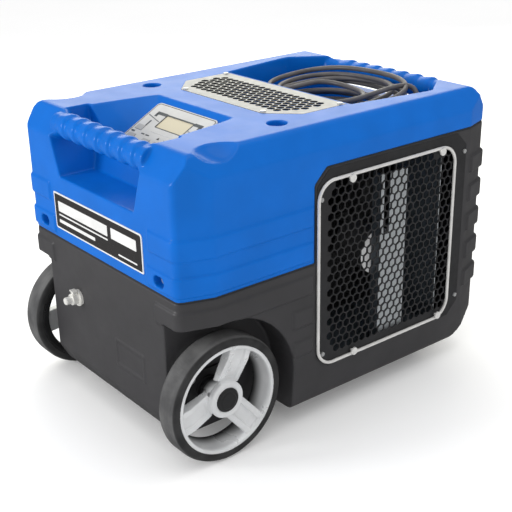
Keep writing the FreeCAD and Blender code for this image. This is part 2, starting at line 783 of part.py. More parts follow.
def drain_coupling():
    """Threaded bulkhead coupling with a collar and a hose tail that points forwards."""
    reach = "dims.drain_reach"
    outline = [
        (0, -22), (5, -22), (5, -12), (8, -12), (8, 0), (13, 0), (13, 4), (9, 4), (9, 14), (6, 14.5),
        (6, f"{reach} - 1.5"), (5, reach), (0, reach),
    ]
    body = place(turned("drain_coupling_body", outline), DRAIN_X, FRONT, DRAIN_LEVEL, ALONG_FRONT)
    slot = box("latch_slot", (
        (DRAIN_X - 4.1, DRAIN_X + 4.1), (f"{FRONT} - 12.1", f"{FRONT} - 5.9"),
        (DRAIN_LEVEL + 1.2, DRAIN_LEVEL + 20)))
    node(cut("drain_coupling_slotted", body, slot), "drain_coupling")
    nut = cut("drain_nut_ring",
              rod("drain_nut_outside", 14, 6, DRAIN_X, behind("dims.shell_wall"), DRAIN_LEVEL, ALONG_Y),
              rod("drain_nut_bore", 8.05, 8, DRAIN_X, behind("dims.shell_wall - 1"), DRAIN_LEVEL, ALONG_Y))
    node(nut, "drain_nut")


def coupling_latch():
    """Thumb latch that slides in the collar of the coupling; pressed down, it lets the hose go."""
    blade = box("latch_blade", (
        (DRAIN_X - 4, DRAIN_X + 4), (f"{FRONT} - 12", f"{FRONT} - 6"),
        (DRAIN_LEVEL + 3, DRAIN_LEVEL + 12.5)))
    thumb = box("latch_thumb", (
        (DRAIN_X - 5.5, DRAIN_X + 5.5), (f"{FRONT} - 13", f"{FRONT} - 5"),
        (DRAIN_LEVEL + 12.5, DRAIN_LEVEL + 14.3)))
    node(fuse("latch", [blade, thumb]), "coupling_latch")


def shell_screws():
    """Recessed screws that hold the upper shell down."""
    screws = []
    for index, (x, setback) in enumerate(SCREW_WELLS):
        screws.append(screw(
            f"top_well_screw_{index}", 7, 3.5, x, behind(setback), f"dims.top_level - {WELL_DEPTH}",
            Rotation(), "dims.shell_wall"))
    for index, (x, level) in enumerate(FRONT_SCREWS):
        screws.append(screw(
            f"front_well_screw_{index}", 6, 3.5, x, behind(FRONT_WELL_DEPTH), level, ALONG_FRONT,
            "dims.shell_wall"))
    node(group("shell_screws_group", screws), "shell_screws")


def rear_feet():
    feet = []
    for name, side in SIDES:
        feet.append(rod(f"{name}_foot", 18, "dims.under_level", side * 140, behind(500), 0))
    node(group("rear_feet_group", feet), "rear_feet")


# Wheels -------------------------------------------------------------------------------------

WHEEL_BACK = "dims.wheel_face - dims.tyre_width"
BUSH_WALL = 3


def on_wheel_axis(body, side, from_centre):
    """Stand a turned piece on the wheel axis, its own +Z looking away from the machine."""
    turn = ALONG_X if side > 0 else ALONG_X.inverted()
    return place(body, f"{side} * ({from_centre})", behind("dims.wheel_setback"), "dims.wheel_radius", turn)


def tyre(name, side):
    """Solid rubber tyre with three shallow grooves."""
    seat = "dims.rim_radius"
    tread = "dims.wheel_radius"
    width = "dims.tyre_width"
    outline = [(seat, 0), (f"{tread} - 5", 0), (f"{tread} - 1.5", 2.5), (tread, 7)]
    for centre in (11, 18.75, 26.5):
        outline += [(tread, centre - 1), (f"{tread} - 1.2", centre), (tread, centre + 1)]
    outline += [
        (tread, f"{width} - 7"), (f"{tread} - 1.5", f"{width} - 2.5"), (f"{tread} - 5", width),
        (seat, width)]
    node(on_wheel_axis(turned(f"{name}_tyre_body", outline), side, WHEEL_BACK), f"{name}_tyre")


def rim(name, side):
    """Three-spoke wheel: bowl-shaped barrel, hub, and channelled spokes that rise to the lip."""
    width = 37
    hub_bore = f"dims.axle_radius + {BUSH_WALL}"
    seat = "dims.rim_radius"
    body = turned(f"{name}_rim_body", [
        (hub_bore, 0), (22, 0), (23, 20), (28, 27), (28, 33.5), (26.5, 35), (18.4, 35), (18.4, 31),
        (hub_bore, 31),
    ])
    barrel = body.newObject("PartDesign::Revolution", f"{name}_barrel")
    barrel.Profile = sketch_on(body, "XZ_Plane", [
        (f"{seat} - 11", 1), (seat, 0), (seat, width), (f"{seat} - 5", width), (f"{seat} - 6.2", 33),
        (f"{seat} - 7.5", 20)])
    barrel.ReferenceAxis = (origin_plane(body, "Z_Axis"), [""])
    barrel.Angle = 360
    spoke_outline = [
        (21, 14), (60, 18), (f"{seat} - 6", 20), (f"{seat} - 2.4", 20), (f"{seat} - 2.4", 34.5),
        (60, 34.5), (24, 25)]
    spoke = pad(body, sketch_on(body, "XZ_Plane", spoke_outline), 37, midplane=True)
    channel = body.newObject("PartDesign::Pocket", f"{name}_spoke_channel")
    channel.Profile = sketch_on(body, "XZ_Plane", [
        (31, 24), (60, 31), (f"{seat} - 6.5", 31), (f"{seat} - 6.5", 45), (31, 45)])
    channel.Midplane = True
    channel.Length = 19
    spokes = body.newObject("PartDesign::PolarPattern", f"{name}_spokes")
    spokes.Originals = [spoke, channel]
    spokes.Axis = (origin_plane(body, "Z_Axis"), [""])
    spokes.Angle = 360
    spokes.Occurrences = 3
    body.Tip = spokes
    turn = ALONG_X if side > 0 else ALONG_X.inverted()
    first_spoke = Rotation(X_AXIS, 69.5 + 90 * side)
    place(body, f"{side} * ({WHEEL_BACK})", behind("dims.wheel_setback"), "dims.wheel_radius",
          first_spoke.multiply(turn))
    node(body, f"{name}_rim")


def wheel_fittings(name, side):
    """Bush and dust cap, which turn with the wheel."""
    axle = "dims.axle_radius"
    outline = rectangle(f"{axle} + dims.running_gap", f"{axle} + {BUSH_WALL}", 0, 31)
    bush = turned(f"{name}_bush_body", outline)
    node(on_wheel_axis(bush, side, WHEEL_BACK), f"{name}_bush")
    cap = turned(f"{name}_cap_body", [
        (0, 36), (13, 36), (13, 33), (18.2, 33), (18.2, 36), (16.5, 37.6), (12.5, 38), (12, 39.2), (0, 40)])
    node(on_wheel_axis(cap, side, WHEEL_BACK), f"{name}_hub_cap")


def axle_parts():
    """Stub axles, the clips that keep the wheels on them, and their brackets."""
    axle = "dims.axle_radius"
    stubs = []
    clips = []
    for name, side in SIDES:
        stub = turned(f"{name}_stub_body", [
            (0, -28), (axle, -28), (axle, 31.5), (f"{axle} - 1", 31.5), (f"{axle} - 1", 33),
            (axle, 33), (axle, 35), (0, 35)])
        stubs.append(on_wheel_axis(stub, side, WHEEL_BACK))
        clip = turned(f"{name}_clip_body", rectangle(f"{axle} - 1", 12, 31.6, 32.8))
        clips.append(on_wheel_axis(clip, side, WHEEL_BACK))
    node(group("stub_axle_group", stubs), "stub_axles")
    node(group("axle_clip_group", clips), "axle_clips")
    node(group("bracket_group", [bracket(name, side) for name, side in SIDES]), "axle_brackets")


def bracket(name, side):
    """Steel plate on the well's inner wall with a stepped boss about the axle."""
    body = plate(f"{name}_bracket_plate", "YZ_Plane", rectangle(-36, 36, -30, 30), 4)
    hub = new_body(f"{name}_bracket_boss")
    for radius, low, high in ((20, 0, 8), (16, 8, 13)):
        ring = pad(hub, circle_on(hub, "YZ_Plane", radius, low), f"{high} - {low}")
    hub.Tip = ring
    joined = fuse(f"{name}_bracket_joined", [body, hub])
    bore = rod(f"{name}_bracket_bore", "dims.axle_radius", 60, -20, 0, 0, ALONG_X)
    piece = cut(f"{name}_bracket_piece", joined, bore)
    turn = Rotation() if side > 0 else Rotation(Z_AXIS, 180)
    face = f"{side} * dims.well_inner"
    return place(piece, face, behind("dims.wheel_setback"), "dims.wheel_radius", turn)


def circle_on(body, role, radius, offset):
    """Round sketch about the plane's origin."""
    sketch = body.newObject("Sketcher::SketchObject", f"{body.Name}_circle")
    sketch.AttachmentSupport = (origin_plane(body, role), [""])
    sketch.MapMode = "FlatFace"
    sketch.setExpression("AttachmentOffset.Base.z", str(offset))
    sketch.addGeometry(Part.Circle(Vector(0, 0, 0), Z_AXIS, value(radius)), False)
    sketch.addConstraint(Sketcher.Constraint("Coincident", 0, 3, -1, 1))
    number = sketch.addConstraint(Sketcher.Constraint("Radius", 0, value(radius)))
    sketch.setExpression(f"Constraints[{number}]", str(radius))
    return sketch


def bracket_bolts():
    """Hexagon bolts that hold the axle brackets to the wells."""
    bolts = []
    for name, side in SIDES:
        turn = ALONG_X if side > 0 else ALONG_X.inverted()
        for corner, (shift_y, shift_z) in enumerate(((-28, -22), (28, -22), (28, 22), (-28, 22))):
            bolts.append(rod(
                f"{name}_bracket_bolt_{corner}", 5, 3.5, f"{side} * (dims.well_inner + 4)",
                behind(f"dims.wheel_setback + {shift_y}"), f"dims.wheel_radius + {shift_z}", turn))
    node(group("bracket_bolts_group", bolts), "bracket_bolts")


def wheels():
    for name, side in SIDES:
        tyre(name, side)
        rim(name, side)
        wheel_fittings(name, side)


# Power cord ---------------------------------------------------------------------------------


def power_cord():
    """Coiled cord as one closed bundle round the tub."""
    bundle = 24
    level = CORD_FLOOR + bundle + 2
    corners = [Vector(-112, front + 385, level), Vector(112, front + 385, level),
               Vector(112, front + 530, level), Vector(-112, front + 530, level)]
    path = rounded_loop(corners, 45)
    start = path.Edges[0].firstVertex().Point
    direction = path.Edges[0].tangentAt(path.Edges[0].FirstParameter)
    section = Part.Wire(Part.makeCircle(bundle, start, direction))
    shape_node("power_cord", path.makePipeShell([section], True, True))


def cord_plug():
    """Mains plug lying in the middle of the coil, with its three pins."""
    body = turned("plug_grip", [(0, 0), (9, 0), (12, 8), (17, 22), (17, 40), (0, 40)])
    place(body, -30, behind(455), CORD_FLOOR + 17.5, ALONG_X)
    pins = []
    for index, (shift, rise) in enumerate(((-6, -4), (6, -4), (0, 6))):
        level = f"{CORD_FLOOR} + 17.5 + {rise}"
        pins.append(rod(f"plug_pin_{index}", 2.4, 20, 9, behind(f"455 + {shift}"), level, ALONG_X))
    node(fuse("plug_with_pins", [body] + pins), "cord_plug")


# Inside the housing -------------------------------------------------------------------------


def chassis():
    """Base sheet and the upright wall between the compressor bay and the air path."""
    outline = rectangle(-150, 150, behind(27), behind(525))
    base = plate("chassis_sheet", "XY_Plane", outline, "dims.chassis_sheet")
    node(place(base, 0, 0, "dims.chassis_level"), "chassis_plate")
    body = plate("bulkhead_sheet", "XZ_Plane", rectangle(-195, 195, CHASSIS_TOP, 436), 1.5)
    for x, level in ((38, 300), (-135, 250)):
        pocket_through(body, sketch_on(body, "XZ_Plane", rectangle(x - 8, x + 8, level - 8, level + 8)))
    node(place(body, 0, behind("dims.seam_step"), 0), "bulkhead")


def compressor():
    """Welded compressor can on its foot, with three rubber mounts under it."""
    centre = (25, behind(120))
    can = turned("compressor_can", [
        (0, 0), (82, 0), (82, 3), (54, 3), (68, 26), (68, 160), (54, 192), (20, 205), (0, 205)])
    node(place(can, *centre, f"{CHASSIS_TOP} + 14"), "compressor")
    mounts = []
    for index in range(3):
        angle = 120 * index + 30
        mounts.append(rod(
            f"compressor_mount_{index}", 11, 14, f"25 + 70 * cos({angle} deg)",
            behind(f"120 + 70 * sin({angle} deg)"), CHASSIS_TOP))
    node(group("compressor_mounts_group", mounts), "compressor_mounts")
    tank = turned("accumulator_tank", [(0, 0), (12, 0), (22, 8), (22, 132), (12, 140), (0, 140)])
    node(place(tank, -125, behind(190), CHASSIS_TOP), "accumulator")


def bent_pipe(points, radius, bend):
    """Solid round pipe or hose along straight runs with round bends."""
    edges = []
    start = points[0]
    for before, corner, after in zip(points, points[1:], points[2:]):
        back = (before - corner).normalize()
        ahead = (after - corner).normalize()
        half_angle = back.getAngle(ahead) / 2
        setback = bend / math.tan(half_angle)
        entry = corner + back * setback
        leave = corner + ahead * setback
        to_centre = (back + ahead).normalize()
        middle = corner + to_centre * (bend / math.sin(half_angle) - bend)
        edges.append(Part.makeLine(start, entry))
        edges.append(Part.Arc(entry, middle, leave).toShape())
        start = leave
    edges.append(Part.makeLine(start, points[-1]))
    first = (points[1] - points[0]).normalize()
    section = Part.Wire(Part.makeCircle(radius, points[0], first))
    return Part.Wire(edges).makePipeShell([section], True, False)


def pipework():
    """Copper lines between the compressor, the accumulator and the two coils."""
    floor = value(CHASSIS_TOP)
    can_top = floor + 14 + 205
    tank_top = floor + 140
    coil_face = front + 243.5
    runs = {
        "discharge": [
            Vector(38, front + 120, can_top), Vector(38, front + 120, 300), Vector(38, coil_face, 300)],
        "suction": [
            Vector(-135, front + 190, tank_top), Vector(-135, front + 190, 250),
            Vector(-135, coil_face, 250)],
        "feed": [
            Vector(-117, front + 186, tank_top), Vector(-117, front + 186, 285),
            Vector(12, front + 120, 285), Vector(12, front + 120, can_top)],
    }
    lines = [free_shape(f"{name}_line", bent_pipe(points, 5, 20)) for name, points in runs.items()]
    node(group("line_group", lines), "refrigerant_lines")


def coil(name, x_low, x_high):
    """Fin pack between two end plates, with the return bends of its tubes."""
    fins = box(f"{name}_fins", ((x_low, x_high), (behind(245), behind(525)), (62, 365)))
    members = [fins]
    for index, setback in enumerate((243.5, 525)):
        members.append(box(f"{name}_end_{index}", (
            (x_low - 3, x_high + 3), (behind(setback), behind(setback + 1.5)), (62, 368))))
    middle = (x_low + x_high) / 2
    for index in range(5):
        bend = doc.addObject("Part::Torus", f"{name}_bend_{index}")
        bind(bend, {"Radius1": 14, "Radius2": 4.5, "Angle3": 180})
        turn = Rotation(Y_AXIS, 90)
        members.append(place(bend, middle, behind(526), 105 + 54 * index, turn))
    node(fuse(f"{name}_coil", members), name)


def heat_exchanger():
    """Air-to-air plate core held by four corner angles."""
    core = box("exchanger_core", ((-108, -32), (behind(250), behind(520)), (66, 361)))
    angles = []
    for x in (-112, -34):
        for setback in (246, 518):
            angles.append(box(f"exchanger_angle_{x}_{setback}", (
                (x, x + 6), (behind(setback), behind(setback + 6)), (62, 365))))
    node(fuse("exchanger", [core] + angles), "heat_exchanger")


def drip_tray():
    outer = box("tray_outside", ((-178, 60), (behind(240), behind(552)), (60, 80)))
    inner = box("tray_inside", ((-176, 58), (behind(242), behind(550)), (62, 90)))
    tray = cut("tray_dish", outer, inner)
    legs = [box(f"tray_leg_{x}_{setback}", (
        (x, x + 8), (behind(setback), behind(setback + 8)), (CHASSIS_TOP, 60)))
        for x in (-140, 40) for setback in (245, 515)]
    node(fuse("tray", [tray] + legs), "drip_tray")


def fan_section():
    """Shroud, motor and impeller of the outlet fan."""
    axis_y = behind("dims.fan_setback")
    level = "dims.fan_level"
    wall_sheet = box("shroud_wall", ((64, 66), (behind(232), behind(527)), (CHASSIS_TOP, 375)))
    collar = rod("shroud_collar", "dims.fan_radius + 6", 36, 66, axis_y, level, ALONG_X)
    throat = rod("shroud_throat", "dims.fan_radius + 4", 80, 40, axis_y, level, ALONG_X)
    node(cut("shroud", fuse("shroud_solid", [wall_sheet, collar]), throat), "fan_shroud")
    can = rod("motor_can", 36, 60, 127, axis_y, level, ALONG_X)
    shaft = rod("motor_shaft", "dims.shaft_radius", 57, 70, axis_y, level, ALONG_X)
    node(fuse("motor", [can, shaft]), "fan_motor")
    impeller()


def fan_bracket():
    """Forked channel that carries the fan motor, on a floor sheet with a rear wall."""
    channel_front, channel_rear = behind(365), behind(420)
    floor_level = 78
    fork_height = (floor_level, 359)
    web = box("fork_web", ((203, 205), (channel_front, channel_rear), fork_height))
    flanges = [
        box("fork_front_flange", ((188, 205), (channel_front, behind(367)), fork_height)),
        box("fork_rear_flange", ((188, 205), (behind(418), channel_rear), fork_height)),
    ]
    slot = box("fork_slot", ((200, 210), (behind(372), behind(384)), (262, 370)))
    floor = box("plenum_floor", ((68, 205), (behind(262), behind(496)), (floor_level, floor_level + 1.5)))
    rear_wall = box("plenum_rear_wall", ((106, 205), (behind(494), behind(496)), (floor_level, 370)))
    legs = [
        box(f"plenum_leg_{setback}", (
            (106, 148), (behind(setback), behind(setback + 2)), (CHASSIS_TOP, floor_level + 1)))
        for setback in (262, 494)]
    frame = fuse("fan_frame", [web, floor, rear_wall] + flanges + legs)
    node(cut("fan_frame_slotted", frame, slot), "fan_bracket")


def impeller():
    """Axial fan: hub, bore for the shaft and five pitched blades."""
    shape = Part.makeCylinder(38, 26, Vector(0, 0, 0), Z_AXIS)
    tip = value("dims.fan_radius")
    for index in range(5):
        blade = Part.makeBox(tip - 30, 62, 2.5, Vector(30, -31, -1.25))
        blade.rotate(Vector(0, 0, 0), X_AXIS, 24)
        blade.translate(Vector(0, 0, 13))
        blade.rotate(Vector(0, 0, 0), Z_AXIS, 72 * index)
        shape = shape.fuse(blade)
    shape = shape.common(Part.makeCylinder(tip, 40, Vector(0, 0, -7), Z_AXIS))
    shape = shape.cut(Part.makeCylinder(
        value("dims.shaft_radius + dims.running_gap"), 60, Vector(0, 0, -20), Z_AXIS))
    fan = shape_node("fan_impeller", shape)
    place(fan, 76, behind("dims.fan_setback"), "dims.fan_level", ALONG_X)


def condensate_pump():
    """Reservoir under the drip tray's outlet, pump on its lid, float below the lid and drain hose."""
    outer = box("reservoir_outside", ((-142, -62), (behind(30), behind(120)), (CHASSIS_TOP, 95)))
    inner = box("reservoir_inside", ((-140, -64), (behind(32), behind(118)), (f"{CHASSIS_TOP} + 2", 99)))
    node(cut("reservoir", outer, inner), "pump_reservoir")
    lid = box("pump_lid", ((-142, -62), (behind(30), behind(120)), (95, 97)))
    motor = rod("pump_motor", 20, 50, -114, behind(88), 97)
    lugs = [box(f"float_lug_{x}", ((x, x + 3), (behind(106), behind(114)), (81, 95))) for x in (-101, -74)]
    pin = rod("float_pin", 1.5, 30, -101, behind(110), 86, ALONG_X)
    node(fuse("pump", [lid, motor, pin] + lugs), "condensate_pump")
    sleeve = rod("float_sleeve", 4, 22, -97, behind(110), 86, ALONG_X)
    arm = box("float_arm", ((-90, -82), (behind(74), behind(108)), (84.5, 87.5)))
    block = box("float_block", ((-100, -72), (behind(46), behind(76)), (76, 92)))
    bore = rod("float_bore", "1.5 + dims.running_gap", 30, -101, behind(110), 86, ALONG_X)
    node(cut("float", fuse("float_solid", [sleeve, arm, block]), bore), "pump_float")
    hose_y = front + 46
    run = [
        Vector(-128, hose_y, 97), Vector(-128, hose_y, DRAIN_LEVEL), Vector(DRAIN_X, hose_y, DRAIN_LEVEL),
        Vector(DRAIN_X, front + 22, DRAIN_LEVEL)]
    shape_node("drain_hose", bent_pipe(run, 6, 12))


def air_filter():
    """Pleated medium in a frame behind the inlet grille."""
    frame = cut("filter_frame_ring",
                box("filter_frame_outside", ((-207, -187), (behind(243), behind(533)), (90, 378))),
                box("filter_frame_inside", ((-210, -180), (behind(251), behind(525)), (98, 370))))
    pleats = 22
    pitch = (525 - 251) / pleats
    near = [(-205, front + 251 + pitch * index / 2) for index in range(2 * pleats + 1)]
    zigzag = [(x + 13 * (index % 2), y) for index, (x, y) in enumerate(near)]
    back = [(x + 2, y) for x, y in reversed(zigzag)]
    medium = free_shape("filter_medium", prism(zigzag + back, "XY", 98, 370))
    node(group("filter_group", [frame, medium]), "air_filter")


def control_box():
    """Closed box with the controller, fixed to the bulkhead below the panel."""
    case = box("controller_case", ((60, 140), (behind(140), behind("dims.seam_step - 1.5")), (262, 340)))
    node(case, "control_box")


def build():
    for part in (
            upper_shell, lower_shell, shell_gasket, side_grilles, top_vent, side_rings, cover_screws,
            ring_screws, control_panel, display, panel_keys, nameplate, drain_coupling, coupling_latch,
            shell_screws, rear_feet, wheels, axle_parts, bracket_bolts, power_cord, cord_plug, chassis,
            compressor, pipework):
        part()
    coil("evaporator", -165, -125)
    coil("condenser", 12, 52)
    for part in (
            heat_exchanger, drip_tray, fan_section, fan_bracket, condensate_pump, air_filter, control_box):
        part()


def check_and_export():
    """Stop on any failed object or bad shape, then write one file per sub-part."""
    doc.recompute()
    for item in doc.Objects:
        if {"Invalid", "Error"} & set(item.State):
            raise RuntimeError(f"{item.Label} failed: {item.State}")
    os.makedirs("parts", exist_ok=True)
    for item in nodes:
        if item.Shape.isNull() or not item.Shape.isValid():
            raise RuntimeError(f"{item.Label} has no valid shape")
        item.Shape.exportStep(f"parts/{item.Label}.step")


build()
check_and_export()
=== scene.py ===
import json
import math
import random

import bmesh
import bpy
from mathutils import Matrix, Vector


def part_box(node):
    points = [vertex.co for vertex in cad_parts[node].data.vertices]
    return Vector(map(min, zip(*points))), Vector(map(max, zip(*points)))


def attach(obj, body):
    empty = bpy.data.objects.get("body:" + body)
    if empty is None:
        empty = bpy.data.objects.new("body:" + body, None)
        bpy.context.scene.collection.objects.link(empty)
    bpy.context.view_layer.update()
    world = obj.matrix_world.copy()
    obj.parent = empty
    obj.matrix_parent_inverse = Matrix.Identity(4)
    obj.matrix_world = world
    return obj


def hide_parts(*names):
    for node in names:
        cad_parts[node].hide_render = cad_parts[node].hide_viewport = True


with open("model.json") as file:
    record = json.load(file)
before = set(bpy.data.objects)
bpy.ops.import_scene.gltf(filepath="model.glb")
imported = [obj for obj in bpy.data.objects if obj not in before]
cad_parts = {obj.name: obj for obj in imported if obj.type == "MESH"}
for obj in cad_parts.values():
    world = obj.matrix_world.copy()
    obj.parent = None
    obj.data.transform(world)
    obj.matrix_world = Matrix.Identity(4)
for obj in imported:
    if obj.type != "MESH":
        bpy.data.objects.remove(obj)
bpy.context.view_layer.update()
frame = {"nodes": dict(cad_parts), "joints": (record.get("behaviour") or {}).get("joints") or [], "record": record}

NODES = frame["nodes"]
RECORD_SLOT = {part["node"]: part["material_slot"] for part in frame["record"]["subparts"]}

# Part of a noise texture's values over which colour and gloss ramps run.
NOISE_START, NOISE_END = 0.35, 0.65
GLOSS_DETAIL = 4.0
# How dark the darker patches of a sheet's faces and edges are, as a share of their colour.
FACE_DIP, EDGE_DIP = 0.93, 0.8


# Material building ------------------------------------------------------------------------


class Finish:
    """One procedural material and the few node chains that its detail is made of."""

    def __init__(self, name, colour, roughness, metallic=0.0):
        self.material = bpy.data.materials.new(name)
        self.material.use_nodes = True
        self.tree = self.material.node_tree
        self.shader = self.tree.nodes["Principled BSDF"]
        self.colour = colour
        self.set("Base Color", (*colour, 1.0))
        self.set("Roughness", roughness)
        self.set("Metallic", metallic)
        self.place = self.add("ShaderNodeTexCoord").outputs["Object"]
        self.normal = None

    def add(self, kind, **values):
        node = self.tree.nodes.new(kind)
        for key, value in values.items():
            setattr(node, key, value)
        return node

    def set(self, socket, value):
        self.shader.inputs[socket].default_value = value

    def link(self, source, target):
        self.tree.links.new(source, target)

    def noise(self, scale, detail=3.0, stretch=None):
        texture = self.add("ShaderNodeTexNoise")
        texture.inputs["Scale"].default_value = scale
        texture.inputs["Detail"].default_value = detail
        place = self.place
        if stretch:
            mapping = self.add("ShaderNodeMapping")
            mapping.inputs["Scale"].default_value = stretch
            self.link(self.place, mapping.inputs["Vector"])
            place = mapping.outputs["Vector"]
        self.link(place, texture.inputs["Vector"])
        return texture.outputs["Fac"]

    def ramp(self, source, low, high, start=NOISE_START, end=NOISE_END):
        """Spread a value between two positions over two grey levels or colours."""
        ramp = self.add("ShaderNodeValToRGB")
        ramp.color_ramp.elements[0].position = start
        ramp.color_ramp.elements[1].position = end
        for element, level in zip(ramp.color_ramp.elements, (low, high)):
            element.color = (*level, 1.0) if isinstance(level, tuple) else (level, level, level, 1.0)
        self.link(source, ramp.inputs["Fac"])
        return ramp.outputs["Color"]

    def tint(self, scale, spread):
        """Slow colour variation about the base colour."""
        low = tuple(level * (1 - spread) for level in self.colour)
        high = tuple(min(level * (1 + spread), 1.0) for level in self.colour)
        shade = self.ramp(self.noise(scale), low, high)
        self.link(shade, self.shader.inputs["Base Color"])
        return self

    def gloss(self, scale, low, high, stretch=None):
        """Roughness that wanders between two values."""
        spread = self.ramp(self.noise(scale, GLOSS_DETAIL, stretch), low, high)
        self.link(spread, self.shader.inputs["Roughness"])
        return self

    def grain(self, scale, depth, strength, stretch=None, detail=2.0):
        """Bump from noise; depth is in metres."""
        bump = self.add("ShaderNodeBump")
        bump.inputs["Strength"].default_value = strength
        bump.inputs["Distance"].default_value = depth
        self.link(self.noise(scale, detail, stretch), bump.inputs["Height"])
        return self.chain(bump)

    def ribs(self, scale, depth, axis):
        """Regular grooves across one axis."""
        wave = self.add("ShaderNodeTexWave", bands_direction=axis)
        wave.inputs["Scale"].default_value = scale
        self.link(self.place, wave.inputs["Vector"])
        bump = self.add("ShaderNodeBump")
        bump.inputs["Distance"].default_value = depth
        self.link(wave.outputs["Fac"], bump.inputs["Height"])
        return self.chain(bump)

    def size_along(self, source, axis, start, end):
        """Size of a vector along one axis, either way, spread over 0 to 1."""
        split = self.add("ShaderNodeSeparateXYZ")
        self.link(source, split.inputs[0])
        size = self.add("ShaderNodeMath", operation="ABSOLUTE")
        self.link(split.outputs[axis], size.inputs[0])
        return self.ramp(size.outputs[0], 0.0, 1.0, start, end)

    def facing(self, axis, start, end):
        """How squarely the surface looks along an axis."""
        return self.size_along(self.add("ShaderNodeNewGeometry").outputs["Normal"], axis, start, end)

    def reach(self, axis, near, far):
        """How far out the surface lies along an axis."""
        return self.size_along(self.place, axis, near, far)

    def blend(self, share, low, high):
        """Base colour that goes from one source to another with a share."""
        mix = self.add("ShaderNodeMixRGB")
        self.link(share, mix.inputs["Fac"])
        self.link(low, mix.inputs["Color1"])
        self.link(high, mix.inputs["Color2"])
        self.link(mix.outputs["Color"], self.shader.inputs["Base Color"])
        return self

    def coat(self, weight, roughness):
        """Clear layer over the surface."""
        self.set("Coat Weight", weight)
        self.set("Coat Roughness", roughness)
        return self

    def chain(self, bump):
        """Put a bump on top of the bumps before it."""
        if self.normal:
            self.link(self.normal, bump.inputs["Normal"])
        self.normal = bump.outputs["Normal"]
        self.link(self.normal, self.shader.inputs["Normal"])
        return self


def moulded(name, colour, low, high, depth):
    """Rotomoulded plastic: faint orange peel, slow gloss changes and slight colour drift."""
    finish = Finish(name, colour, low).tint(scale=14, spread=0.05).gloss(22, low, high)
    return finish.grain(420, depth, strength=0.5).grain(35, depth, strength=0.6)


def bare_metal(name, colour, low, high, stretch, metallic=1.0):
    """Metal with fine drawn lines along one direction."""
    finish = Finish(name, colour, low, metallic).tint(scale=60, spread=0.06)
    finish.gloss(140, low, high, stretch)
    return finish.grain(scale=350, depth=0.00001, strength=0.5, stretch=stretch)


def blue_moulding():
    finish = moulded("blue_moulding", (0.0, 0.126, 0.53), low=0.4, high=0.48, depth=0.00005)
    finish.set("Specular IOR Level", 0.1)
    return finish.coat(weight=0.24, roughness=0.13)


def black_moulding():
    return moulded("black_moulding", (0.043, 0.042, 0.045), low=0.38, high=0.52, depth=0.00009)


def coated(finish):
    """Fine texture and uneven gloss of a baked powder coat."""
    return finish.gloss(90, low=0.4, high=0.55).grain(scale=900, depth=0.00005, strength=0.7)


def faced_sheet(name, axis, across, along):
    """Coated sheet with painted light and shade: pale on the faces across an axis, and painted shade, dark, on its
    edges and flanges, which face other ways.
    """
    finish = Finish(name, across, roughness=0.45)
    face = finish.ramp(finish.noise(40), tuple(FACE_DIP * level for level in across), across)
    edge = finish.ramp(finish.noise(60), tuple(EDGE_DIP * level for level in along), along)
    # Painted light on the faces across the axis, painted shade on every surface that faces another way.
    finish.blend(finish.facing(axis, start=0.4, end=0.75), low=edge, high=face)
    return coated(finish)


def powder_coat(name, colour):
    return coated(Finish(name, colour, roughness=0.45).tint(scale=40, spread=0.08))


def rubber(name, colour):
    finish = Finish(name, colour, roughness=0.7).tint(scale=30, spread=0.14)
    return finish.gloss(60, low=0.55, high=0.8).grain(scale=260, depth=0.00012, strength=0.8)


def plastic(name, colour, low=0.3, high=0.42):
    finish = Finish(name, colour, low).tint(scale=25, spread=0.06)
    return finish.gloss(40, low, high).grain(scale=500, depth=0.00004, strength=0.6)


def tyre_rubber():
    """Solid rubber: dark moulded walls, and a tread that is worn grey with pale scratches."""
    finish = Finish("tyre_rubber", (0.1, 0.1, 0.1), roughness=0.6)
    wall = finish.ramp(finish.noise(40, detail=5.0), (0.020, 0.020, 0.021), (0.036, 0.036, 0.037))
    worn = finish.ramp(finish.noise(24, detail=8.0), (0.060, 0.060, 0.062), (0.135, 0.135, 0.135),
                       start=0.36, end=0.70)
    finish.blend(finish.facing("X", start=0.45, end=0.8), low=worn, high=wall)
    finish.gloss(18, low=0.5, high=0.78)
    finish.grain(scale=150, depth=0.0002, strength=0.8, detail=6.0)
    return finish.grain(scale=60, depth=0.0004, strength=0.5, stretch=(1, 9, 9))


def silver_paint():
    """Metallic lacquer on a moulded rim, with painted shade that turns it near black in the depth of the barrel.
    """
    finish = Finish("silver_plastic", (0.80, 0.81, 0.82), roughness=0.32, metallic=0.3)
    lacquer = finish.ramp(finish.noise(30), (0.76, 0.77, 0.78), (0.84, 0.85, 0.86))
    # Painted shade: near black deeper in the barrel towards the body, silver lacquer further out.
    barrel_shade = finish.ramp(finish.noise(50), (0.012, 0.012, 0.013), (0.022, 0.022, 0.023))
    finish.blend(finish.reach("X", near=0.181, far=0.197), low=barrel_shade, high=lacquer)
    finish.gloss(25, low=0.26, high=0.4).grain(scale=900, depth=0.00003, strength=0.6)
    return finish.coat(weight=0.3, roughness=0.2)


def fin_pack():
    """Stack of thin upright fins as one block, coloured dark for the painted shade in the gaps between their
    edges.
    """
    # Painted shade: the block's dark colour stands for the shade between the fins.
    finish = Finish("aluminium_fins", (0.09, 0.092, 0.095), roughness=0.45, metallic=0.4)
    return finish.tint(scale=50, spread=0.1).ribs(scale=150, depth=0.0006, axis="Y")


def display_film():
    """Clear window over an unlit, cream read-out."""
    finish = Finish("display_glass", (0.66, 0.60, 0.44), roughness=0.16)
    finish.tint(scale=8, spread=0.04).gloss(12, low=0.12, high=0.2)
    return finish.coat(weight=0.5, roughness=0.06)


def cord_sheath():
    """Soft grey sheath with uneven gloss."""
    finish = Finish("cord", (0.115, 0.108, 0.11), roughness=0.4).tint(scale=30, spread=0.16)
    return finish.gloss(45, low=0.34, high=0.5).grain(scale=600, depth=0.00004, strength=0.7)


def filter_pad():
    finish = Finish("filter_pad", (0.62, 0.62, 0.58), roughness=0.9).tint(scale=60, spread=0.1)
    return finish.grain(scale=900, depth=0.0002, strength=0.9)


